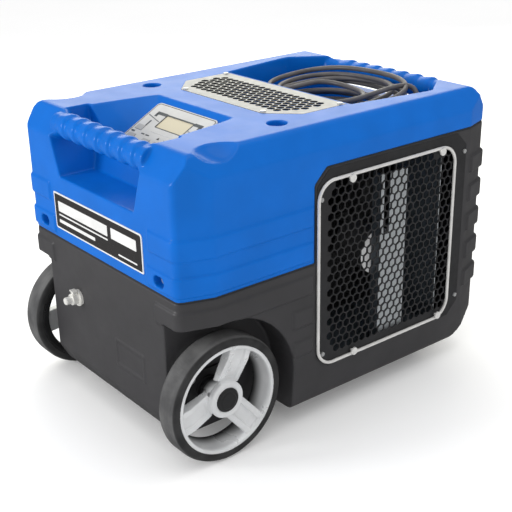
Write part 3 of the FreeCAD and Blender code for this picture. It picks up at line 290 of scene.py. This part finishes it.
def make_finishes():
    finishes = {
        "blue_moulding": blue_moulding(),
        "black_moulding": black_moulding(),
        "black_sheet": powder_coat("black_sheet", (0.022, 0.022, 0.024)),
        # Painted light on the faces across Z, painted shade on surfaces that face other ways.
        "pale_sheet": faced_sheet("pale_sheet", "Z", (0.42, 0.42, 0.40), (0.04, 0.04, 0.04)),
        "bright_steel": bare_metal("bright_steel", (0.93, 0.92, 0.90), 0.18, 0.26, (1, 1, 3), 0.45),
        "zinc_steel": bare_metal("zinc_steel", (0.62, 0.63, 0.63), 0.25, 0.4, (1, 14, 1), 0.7),
        "nickel": bare_metal("nickel", (0.93, 0.92, 0.88), 0.16, 0.26, (1, 3, 1), 0.4),
        "rubber": rubber("rubber", (0.03, 0.03, 0.031)),
        "tyre_rubber": tyre_rubber(),
        "silver_plastic": silver_paint(),
        "black_plastic": plastic("black_plastic", (0.018, 0.018, 0.019)),
        "panel_overlay": plastic("panel_overlay", (0.56, 0.56, 0.54), 0.32, 0.4),
        "key_cap": plastic("key_cap", (0.40, 0.40, 0.385), 0.35, 0.45),
        "display_glass": display_film(),
        "label": plastic("label", (0.016, 0.014, 0.014), 0.24, 0.34),
        "cord": cord_sheath(),
        "aluminium_fins": fin_pack(),
        "copper_line": bare_metal("copper_line", (0.62, 0.26, 0.14), 0.25, 0.4, (1, 1, 10)),
        "clear_hose": plastic("clear_hose", (0.45, 0.45, 0.43), 0.3, 0.4),
        "filter_pad": filter_pad(),
        "foam_core": plastic("foam_core", (0.035, 0.035, 0.036)).ribs(scale=90, depth=0.0006, axis="Z"),
        "inner_steel": powder_coat("inner_steel", (0.030, 0.032, 0.036)),
        # Painted light on the faces across X, painted shade on surfaces that face other ways, in these two sheets.
        "bracket_steel": faced_sheet("bracket_steel", "X", (0.50, 0.53, 0.55), (0.070, 0.085, 0.100)),
        "motor_steel": faced_sheet("motor_steel", "X", (0.85, 0.85, 0.85), (0.05, 0.05, 0.052)),
        "print_white": plastic("print_white", (0.72, 0.72, 0.71), 0.35, 0.45),
        "print_grey": plastic("print_grey", (0.075, 0.085, 0.09), 0.35, 0.45),
        "print_black": plastic("print_black", (0.02, 0.02, 0.022), 0.35, 0.45),
    }
    return {name: finish.material for name, finish in finishes.items()}


FINISHES = make_finishes()


# Helpers for pieces --------------------------------------------------------------------------


WELD_GAP = 0.00001
BAND_WELD_GAP = 0.000001
BEVEL_ANGLE = math.radians(35)
# Voxel size and smoothing passes for each moulded piece that is rounded off.
SOFTENING = {
    "upper_shell": (0.0016, 6), "lower_shell": (0.0016, 6), "rim": (0.0009, 4), "hub_cap": (0.0006, 5),
    "tyre": (0.0011, 3), "cord_plug": (0.0007, 5),
}


def new_piece(name, mesh, slot, body, finish=None):
    """Mesh object that rides on a body and wears the finish of its slot."""
    piece = bpy.data.objects.new(name, mesh)
    bpy.context.scene.collection.objects.link(piece)
    mesh.materials.clear()
    mesh.materials.append(FINISHES[finish or slot])
    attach(piece, body)
    return piece


def apply_modifiers(piece):
    """Bake a piece's modifiers into its mesh."""
    depsgraph = bpy.context.evaluated_depsgraph_get()
    baked = bpy.data.meshes.new_from_object(piece.evaluated_get(depsgraph))
    piece.modifiers.clear()
    piece.data = baked


def smooth_faces(mesh):
    mesh.polygons.foreach_set("use_smooth", [True] * len(mesh.polygons))
    mesh.update()


def welded_copy(node):
    """The node's mesh with its split corners joined again."""
    mesh = NODES[node].data.copy()
    shape = bmesh.new()
    shape.from_mesh(mesh)
    bmesh.ops.remove_doubles(shape, verts=shape.verts, dist=WELD_GAP)
    shape.to_mesh(mesh)
    shape.free()
    return mesh


def softened(node, body):
    """Replace a CAD node by the same form with moulded, gently rounded edges."""
    slot = RECORD_SLOT[node]
    voxel, passes = SOFTENING[node.removeprefix("right_").removeprefix("left_")]
    piece = new_piece(f"{node}_soft", welded_copy(node), slot, body)
    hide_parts(node)
    remesh = piece.modifiers.new("skin", "REMESH")
    remesh.mode = "VOXEL"
    remesh.voxel_size = voxel * 1
    smooth = piece.modifiers.new("round", "SMOOTH")
    smooth.factor = 0.5
    smooth.iterations = passes // 1
    apply_modifiers(piece)
    piece.data.materials.clear()
    piece.data.materials.append(FINISHES[slot])
    smooth_faces(piece.data)


def crisp(node, bevel=0.0, finish=None):
    """Keep a CAD node, give it its finish and break its edges."""
    piece = NODES[node]
    finish = FINISHES[finish or RECORD_SLOT[node]]
    for slot in piece.material_slots:
        slot.material = finish
    if bevel:
        edge = piece.modifiers.new("edges", "BEVEL")
        edge.width = bevel
        edge.segments = 2
        edge.limit_method = "ANGLE"
        edge.angle_limit = BEVEL_ANGLE


def flat_shape(name, outline, thickness, matrix, finish, slot=None):
    """Thin piece from a closed outline, laid in the XY plane of a matrix."""
    shape = bmesh.new()
    face = shape.faces.new([shape.verts.new((u, v, 0)) for u, v in outline])
    lifted = bmesh.ops.extrude_face_region(shape, geom=[face])["geom"]
    tops = [item for item in lifted if isinstance(item, bmesh.types.BMVert)]
    bmesh.ops.translate(shape, verts=tops, vec=(0, 0, thickness))
    bmesh.ops.recalc_face_normals(shape, faces=shape.faces)
    mesh = bpy.data.meshes.new(name)
    shape.transform(matrix)
    shape.to_mesh(mesh)
    shape.free()
    return new_piece(name, mesh, slot or finish, "housing", finish)


def rounded_outline(low_u, high_u, low_v, high_v, radii, steps=5):
    """Rectangle with round corners, anticlockwise from the high right one."""
    if not isinstance(radii, tuple):
        radii = (radii,) * 4
    places = []
    corners = ((high_u, high_v, 0), (low_u, high_v, 90), (low_u, low_v, 180), (high_u, low_v, 270))
    for (u, v, start), radius in zip(corners, radii):
        centre_u = u - radius if u == high_u else u + radius
        centre_v = v - radius if v == high_v else v + radius
        for step in range(steps + 1):
            angle = math.radians(start + 90 * step / steps)
            places.append((centre_u + radius * math.cos(angle), centre_v + radius * math.sin(angle)))
    return places


def flat_band(name, outer, inner, thickness, matrix, finish, slot):
    """Thin raised band between two outlines of equal length."""
    shape = bmesh.new()
    for start in range(len(outer)):
        end = (start + 1) % len(outer)
        quad = (outer[start], outer[end], inner[end], inner[start])
        low = [shape.verts.new((u, v, 0)) for u, v in quad]
        high = [shape.verts.new((u, v, thickness)) for u, v in quad]
        shape.faces.new(high)
        shape.faces.new(list(reversed(low)))
        shape.faces.new([low[0], low[1], high[1], high[0]])
        shape.faces.new([low[2], low[3], high[3], high[2]])
    bmesh.ops.remove_doubles(shape, verts=shape.verts, dist=BAND_WELD_GAP)
    bmesh.ops.recalc_face_normals(shape, faces=shape.faces)
    mesh = bpy.data.meshes.new(name)
    shape.transform(matrix)
    shape.to_mesh(mesh)
    shape.free()
    return new_piece(name, mesh, slot, "housing", finish)


# The case ------------------------------------------------------------------------------------


def build_case():
    softened("upper_shell", "housing")
    softened("lower_shell", "housing")
    crisp("shell_gasket")


# Wheels --------------------------------------------------------------------------------------


def build_wheels():
    for side in ("right", "left"):
        body = f"{side}_wheel"
        softened(f"{side}_rim", body)
        softened(f"{side}_hub_cap", body)
        softened(f"{side}_tyre", body)
        crisp(f"{side}_bush")


# Cord ----------------------------------------------------------------------------------------


# Turns of the coil, from the floor of the tub up: half width, half depth, shift across,
# shift to the rear, level above the floor and rise at the rear. The last row is only what the
# turn before it hands over to.
CORD_TURNS = (
    (0.116, 0.076, 0.000, 0.000, 0.006, 0.000),
    (0.104, 0.068, 0.006, 0.004, 0.012, 0.002),
    (0.120, 0.082, -0.004, 0.000, 0.018, 0.004),
    (0.106, 0.070, 0.004, -0.002, 0.026, 0.006),
    (0.121, 0.084, 0.000, 0.004, 0.032, 0.010),
    (0.108, 0.078, 0.012, 0.006, 0.038, 0.014),
    (0.102, 0.078, -0.008, 0.004, 0.040, 0.018),
    (0.066, 0.056, 0.006, -0.030, 0.046, 0.008),
    (0.122, 0.084, -0.002, 0.006, 0.043, 0.024),
    (0.122, 0.084, -0.002, 0.006, 0.043, 0.024),
)
# Free end that crosses the coil at the right and drops behind it: across, to the rear, level.
CORD_END = (
    (0.060, -0.084, 0.050), (0.106, -0.050, 0.062), (0.101, 0.010, 0.066), (0.094, 0.058, 0.066),
    (0.106, 0.076, 0.063), (0.124, 0.070, 0.048), (0.130, 0.050, 0.028), (0.126, 0.030, 0.012),
)
CORD_RADIUS = 0.0041
SQUARENESS = 2 / 2.7
TURN_STEPS = 24
WANDER_SEED = 5
WANDER_PHASE = 6.28
WANDER_HEIGHT = 0.0022
HANDOVER_START = 0.72
HANDOVER_LENGTH = 0.28


def turn_place(row, angle):
    """Place on one rounded turn, about the middle of the tub's floor."""
    half_x, half_y, shift_x, shift_y, level, rise = row
    cosine, sine = math.cos(angle), math.sin(angle)
    x = shift_x + half_x * math.copysign(abs(cosine) ** SQUARENESS, cosine)
    y = shift_y + half_y * math.copysign(abs(sine) ** SQUARENESS, sine)
    return Vector((x, y, level + rise * (1 + sine) / 2))


def cord_path():
    """Coil that starts each turn at the front, where the next turn takes over from the last."""
    wander = random.Random(WANDER_SEED)
    places = []
    for row, following in zip(CORD_TURNS, CORD_TURNS[1:]):
        phase = wander.uniform(0, WANDER_PHASE)
        for step in range(TURN_STEPS):
            share = step / TURN_STEPS
            angle = 2 * math.pi * share - math.pi / 2
            late = max(0.0, (share - HANDOVER_START) / HANDOVER_LENGTH)
            ease = late * late * (3 - 2 * late)
            place = turn_place(row, angle).lerp(turn_place(following, angle), ease)
            place.z += WANDER_HEIGHT * math.sin(2 * angle + phase)
            places.append(place)
    return places + [Vector(place) for place in CORD_END]


def build_cord():
    low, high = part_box("power_cord")
    foot = Vector(((low.x + high.x) / 2, (low.y + high.y) / 2, low.z))
    curve = bpy.data.curves.new("power_cord_coil", "CURVE")
    curve.dimensions = "3D"
    curve.bevel_depth = CORD_RADIUS
    curve.bevel_resolution = 5
    curve.use_fill_caps = True
    curve.resolution_u = 4
    places = [foot + place for place in cord_path()]
    spline = curve.splines.new("NURBS")
    spline.points.add(len(places) - 1)
    for point, place in zip(spline.points, places):
        point.co = (*place, 1.0)
    spline.use_endpoint_u = True
    spline.order_u = 4
    piece = bpy.data.objects.new("power_cord_coil", curve)
    bpy.context.scene.collection.objects.link(piece)
    mesh = bpy.data.meshes.new_from_object(piece.evaluated_get(bpy.context.evaluated_depsgraph_get()))
    bpy.data.objects.remove(piece)
    smooth_faces(mesh)
    coil = new_piece("power_cord_coil", mesh, "cord", "housing")
    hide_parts("power_cord")
    softened("cord_plug", "housing")


# Control panel -------------------------------------------------------------------------------


FILM = 0.00018
MARK_FILM = FILM * 1.5
PANEL_RADIUS = 0.007
CUTTER_DEPTH = 0.01
OUTLINE_MARGIN, OUTLINE_WIDTH = 0.0018, 0.0010
OUTLINE_RADIUS, OUTLINE_INNER_RADIUS = 0.006, 0.0053
WINDOW_LAP, WINDOW_RADIUS, WINDOW_INNER_RADIUS = 0.0008, 0.002, 0.001
# Bands about the window: width at the sides, then low and high of the band and of its opening.
MASK_WIDTH, MASK_SPAN, MASK_OPENING = 0.0014, (-0.0095, 0.0335), (0.001, 0.027)
SURROUND_WIDTH, SURROUND_SPAN, SURROUND_OPENING = 0.0016, (-0.0002, 0.0290), (0.0012, 0.0268)
MARK_RADIUS = 0.0004
KEY_BEVEL = 0.0006
# Printed bars, as low and high across, then low and high up the slope.
PANEL_MARKS = {
    "mark_ear_left": (-0.0560, -0.0300, 0.0245, 0.0300),
    "mark_ear_left_end": (-0.0560, -0.0500, 0.0195, 0.0260),
    "mark_ear_right": (0.0385, 0.0590, 0.0245, 0.0300),
    "mark_ear_right_end": (0.0520, 0.0590, 0.0200, 0.0260),
    "mark_bar_left": (-0.0525, -0.0495, -0.0024, 0.0100),
    "mark_dash_right": (0.0400, 0.0540, 0.0115, 0.0125),
    "mark_row_left": (-0.0690, -0.0600, -0.0195, -0.0165),
    "mark_row_mid": (-0.0420, -0.0340, -0.0190, -0.0170),
    "mark_row_wide": (-0.0310, -0.0220, -0.0190, -0.0170),
    "mark_row_right": (0.0160, 0.0300, -0.0190, -0.0170),
}
PANEL_SLANT = ((-0.0690, 0.0200), (-0.0690, 0.0188), (-0.0335, 0.0108), (-0.0335, 0.0120))
PANEL_ARROW = ((-0.0010, -0.0195), (0.0050, -0.0195), (0.0020, -0.0150))


def panel_frame():
    """The panel's surface: a matrix (across, up the slope, outward) and half its length."""
    joint = next(item for item in frame["joints"] if item["name"] == "power_key_press")
    outward = -Vector(joint["axis"]).normalized()
    across = Vector((1, 0, 0))
    slope = outward.cross(across).normalized()
    corners = [vertex.co for vertex in NODES["control_panel"].data.vertices]
    lift = max(corner.dot(outward) for corner in corners)
    spread = [corner.dot(slope) for corner in corners]
    middle = outward * lift + slope * (max(spread) + min(spread)) / 2
    turn = Matrix((across, slope, outward)).transposed().to_4x4()
    return Matrix.Translation(middle) @ turn, (max(spread) - min(spread)) / 2


def round_panel_plate(matrix, half_u, half_v):
    """The CAD plate with its key and window openings, trimmed to round corners."""
    piece = new_piece("control_panel_plate", welded_copy("control_panel"), "panel_overlay", "housing")
    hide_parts("control_panel")
    outline = rounded_outline(-half_u, half_u, -half_v, half_v, PANEL_RADIUS, steps=8)
    below = matrix @ Matrix.Translation((0, 0, -CUTTER_DEPTH))
    cutter = flat_shape("panel_cutter", outline, 2 * CUTTER_DEPTH, below, "panel_overlay")
    trim = piece.modifiers.new("trim", "BOOLEAN")
    trim.operation = "INTERSECT"
    trim.object = cutter
    apply_modifiers(piece)
    bpy.data.objects.remove(cutter)


def panel_ring(name, outer, inner, matrix, finish, layers=1.0):
    """Printed band between two rectangles with round corners.

    A rectangle is its low and high across, its low and high up the slope, and its corner radius.
    """
    flat_band(name, rounded_outline(*outer), rounded_outline(*inner), FILM * layers, matrix, finish,
              "panel_overlay")


def build_panel():
    matrix, half_v = panel_frame()
    low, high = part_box("control_panel")
    half_u = (high.x - low.x) / 2
    round_panel_plate(matrix, half_u, half_v)
    crisp("display_window")
    edge_u, edge_v = half_u - OUTLINE_MARGIN, half_v - OUTLINE_MARGIN
    line = OUTLINE_WIDTH
    panel_ring("panel_outline", (-edge_u, edge_u, -edge_v, edge_v, OUTLINE_RADIUS),
               (line - edge_u, edge_u - line, line - edge_v, edge_v - line, OUTLINE_INNER_RADIUS), matrix,
               "print_black")
    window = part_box("display_window")
    left, right = window[0].x - WINDOW_LAP, window[1].x + WINDOW_LAP
    panel_ring("display_mask", (left, right, *MASK_SPAN, WINDOW_RADIUS),
               (left + MASK_WIDTH, right - MASK_WIDTH, *MASK_OPENING, WINDOW_INNER_RADIUS), matrix,
               "panel_overlay")
    panel_ring("display_surround", (left, right, *SURROUND_SPAN, WINDOW_RADIUS),
               (left + SURROUND_WIDTH, right - SURROUND_WIDTH, *SURROUND_OPENING, WINDOW_INNER_RADIUS),
               matrix, "print_grey", layers=2.0)
    for name, sides in PANEL_MARKS.items():
        outline = rounded_outline(*sides, MARK_RADIUS, steps=3)
        flat_shape(name, outline, MARK_FILM, matrix, "print_grey", slot="panel_overlay")
    flat_shape("mark_slant", PANEL_SLANT, MARK_FILM, matrix, "print_grey", slot="panel_overlay")
    flat_shape("mark_arrow", PANEL_ARROW, MARK_FILM, matrix, "print_black", slot="panel_overlay")
    for key in ("power", "mode", "up", "down", "pump", "reset"):
        crisp(f"key_{key}", bevel=KEY_BEVEL)


# Name plate ----------------------------------------------------------------------------------


PLATE_RADII = (0.005, 0.002, 0.004, 0.002)
PLATE_BORDER = 0.0024
FIELD_RADIUS_LOSS, FIELD_LEAST_RADIUS = 0.0012, 0.001
PLATE_BAR_RADIUS = 0.001
# Bare bars, as shares of the plate: start and end along it, bottom and top up it.
PLATE_BARS = {
    "plate_bar_long": (0.05, 0.63, 0.50, 0.78),
    "plate_bar_short": (0.67, 0.94, 0.50, 0.78),
    "plate_line": (0.05, 0.63, 0.39, 0.43),
    "plate_bar_low": (0.05, 0.48, 0.19, 0.28),
    "plate_bar_tiny": (0.74, 0.94, 0.15, 0.19),
}


def build_nameplate():
    """Blank plate with a plain white edge and bare bars where a name would be."""
    low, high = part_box("nameplate")
    upright = Matrix.Rotation(math.radians(90), 4, "X")
    back = Matrix.Translation((0, high.y, 0)) @ upright
    face = Matrix.Translation((0, low.y, 0)) @ upright
    plate = flat_shape("nameplate_edge", rounded_outline(low.x, high.x, low.z, high.z, PLATE_RADII),
                       high.y - low.y, back, "print_white", slot="label")
    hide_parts("nameplate")
    radii = tuple(max(radius - FIELD_RADIUS_LOSS, FIELD_LEAST_RADIUS) for radius in PLATE_RADII)
    field = rounded_outline(low.x + PLATE_BORDER, high.x - PLATE_BORDER,
                            low.z + PLATE_BORDER, high.z - PLATE_BORDER, radii)
    flat_shape("nameplate_field", field, FILM, face, "label")
    width, height = high.x - low.x, high.z - low.z
    for name, (start, end, bottom, crown) in PLATE_BARS.items():
        outline = rounded_outline(low.x + start * width, low.x + end * width,
                                  low.z + bottom * height, low.z + crown * height,
                                  PLATE_BAR_RADIUS, steps=3)
        flat_shape(name, outline, FILM * 2, face, "print_white", slot="label")


# Everything else keeps its CAD form ----------------------------------------------------------


BEVELS = {
    "drain_coupling": 0.0005, "coupling_latch": 0.0005, "axle_brackets": 0.0008, "bracket_bolts": 0.0005,
    "cover_screws": 0.0005, "ring_screws": 0.0008, "shell_screws": 0.0006, "rear_feet": 0.0015,
    "fan_motor": 0.0012, "fan_impeller": 0.0006, "compressor": 0.002,
}
OWN_FINISH = {
    "fan_bracket": "bracket_steel", "fan_motor": "motor_steel", "bulkhead": "inner_steel",
    "chassis_plate": "inner_steel",
}


BUILT_ABOVE = {
    "upper_shell", "lower_shell", "shell_gasket", "power_cord", "cord_plug", "control_panel",
    "display_window", "nameplate",
}


def build_rest():
    for name in NODES:
        on_wheel = name.endswith(("_rim", "_tyre", "_hub_cap", "_bush"))
        if name not in BUILT_ABOVE and not on_wheel and not name.startswith("key_"):
            crisp(name, bevel=BEVELS.get(name, 0.0), finish=OWN_FINISH.get(name))


# Stage ---------------------------------------------------------------------------------------


FLOOR_REACH = 12
FLOOR_GLOW = 0.1
FLOOR_REFLECTED = 0.12
WORLD_PLAIN, WORLD_REFLECTED = 0.97, 0.14
# Area lights: place, size, watts and colour.
LIGHTS = {
    "overhead": ((0.2, 0.1, 2.5), (2.2, 1.8), 12, (1, 1, 1)),
    "far_sheen": ((-2.0, 1.55, 1.25), (2.8, 1.7), 36, (1.0, 0.99, 0.88)),
    "front_left": ((-1.0, -2.5, 1.0), (0.6, 0.9), 28, (1, 1, 1)),
}
LIGHT_TARGET = Vector((0, 0, 0.2))
# The photo's view: angles in degrees, lens and sensor in millimetres.
VIEW_ANGLES = (52.37, 23.72, -1.43)
VIEW_AIM = Vector((0.0172, -0.0362, 0.1698))
VIEW_DISTANCE = 1.6217
VIEW_LENS, VIEW_SENSOR = 70.62, 36
VIEW_SHIFT = (0.0220, 0.0357)


def reflected_share(tree, plain, reflected):
    """Value that is different for rays that come from glossy surfaces."""
    span = tree.nodes.new("ShaderNodeMapRange")
    span.inputs["To Min"].default_value = plain
    span.inputs["To Max"].default_value = reflected
    path = tree.nodes.new("ShaderNodeLightPath")
    tree.links.new(path.outputs["Is Glossy Ray"], span.inputs["Value"])
    return span.outputs["Result"]


def build_floor():
    mesh = bpy.data.meshes.new("floor")
    corners = [(FLOOR_REACH * x, FLOOR_REACH * y, 0) for x, y in ((-1, -1), (1, -1), (1, 1), (-1, 1))]
    mesh.from_pydata(corners, [], [(0, 1, 2, 3)])
    floor = bpy.data.objects.new("floor", mesh)
    bpy.context.scene.collection.objects.link(floor)
    finish = Finish("floor", (0.93, 0.93, 0.93), roughness=0.85)
    paper = finish.add("ShaderNodeHueSaturation")
    finish.link(finish.ramp(finish.noise(2), 0.925, 0.94), paper.inputs["Color"])
    finish.link(reflected_share(finish.tree, 1.0, FLOOR_REFLECTED), paper.inputs["Value"])
    finish.link(paper.outputs["Color"], finish.shader.inputs["Base Color"])
    finish.set("Emission Color", (1.0, 1.0, 1.0, 1.0))
    finish.set("Emission Strength", FLOOR_GLOW)
    mesh.materials.append(finish.material)


def area_light(name, place, size, watts, colour):
    data = bpy.data.lights.new(name, "AREA")
    data.shape = "RECTANGLE"
    data.size, data.size_y = size
    data.energy = watts
    data.color = colour
    light = bpy.data.objects.new(name, data)
    bpy.context.scene.collection.objects.link(light)
    light.location = place
    light.rotation_euler = (LIGHT_TARGET - Vector(place)).to_track_quat("-Z", "Y").to_euler()


def build_lights():
    world = bpy.data.worlds.new("studio")
    bpy.context.scene.world = world
    world.use_nodes = True
    background = world.node_tree.nodes["Background"]
    background.inputs["Color"].default_value = (1.0, 1.0, 1.0, 1.0)
    strength = reflected_share(world.node_tree, WORLD_PLAIN, WORLD_REFLECTED)
    world.node_tree.links.new(strength, background.inputs["Strength"])
    for name, light in LIGHTS.items():
        area_light(name, *light)


def build_camera():
    """Camera at a three-quarter view from the front right, slightly above."""
    data = bpy.data.cameras.new("camera")
    data.sensor_width = VIEW_SENSOR
    data.lens = VIEW_LENS
    data.shift_x, data.shift_y = VIEW_SHIFT
    camera = bpy.data.objects.new("camera", data)
    bpy.context.scene.collection.objects.link(camera)
    azimuth, elevation, roll = (math.radians(angle) for angle in VIEW_ANGLES)
    reach = math.cos(elevation)
    back = Vector((math.sin(azimuth) * reach, -math.cos(azimuth) * reach, math.sin(elevation)))
    level = Vector((math.cos(azimuth), math.sin(azimuth), 0))
    upright = back.cross(level)
    right = level * math.cos(roll) + upright * math.sin(roll)
    up = upright * math.cos(roll) - level * math.sin(roll)
    turn = Matrix((right, up, back)).transposed().to_4x4()
    camera.matrix_world = Matrix.Translation(VIEW_AIM + back * VIEW_DISTANCE) @ turn
    bpy.context.scene.camera = camera


build_case()
build_wheels()
build_cord()
build_panel()
build_nameplate()
build_rest()
build_floor()
build_lights()
build_camera()
bpy.context.scene.view_settings.view_transform = "Standard"
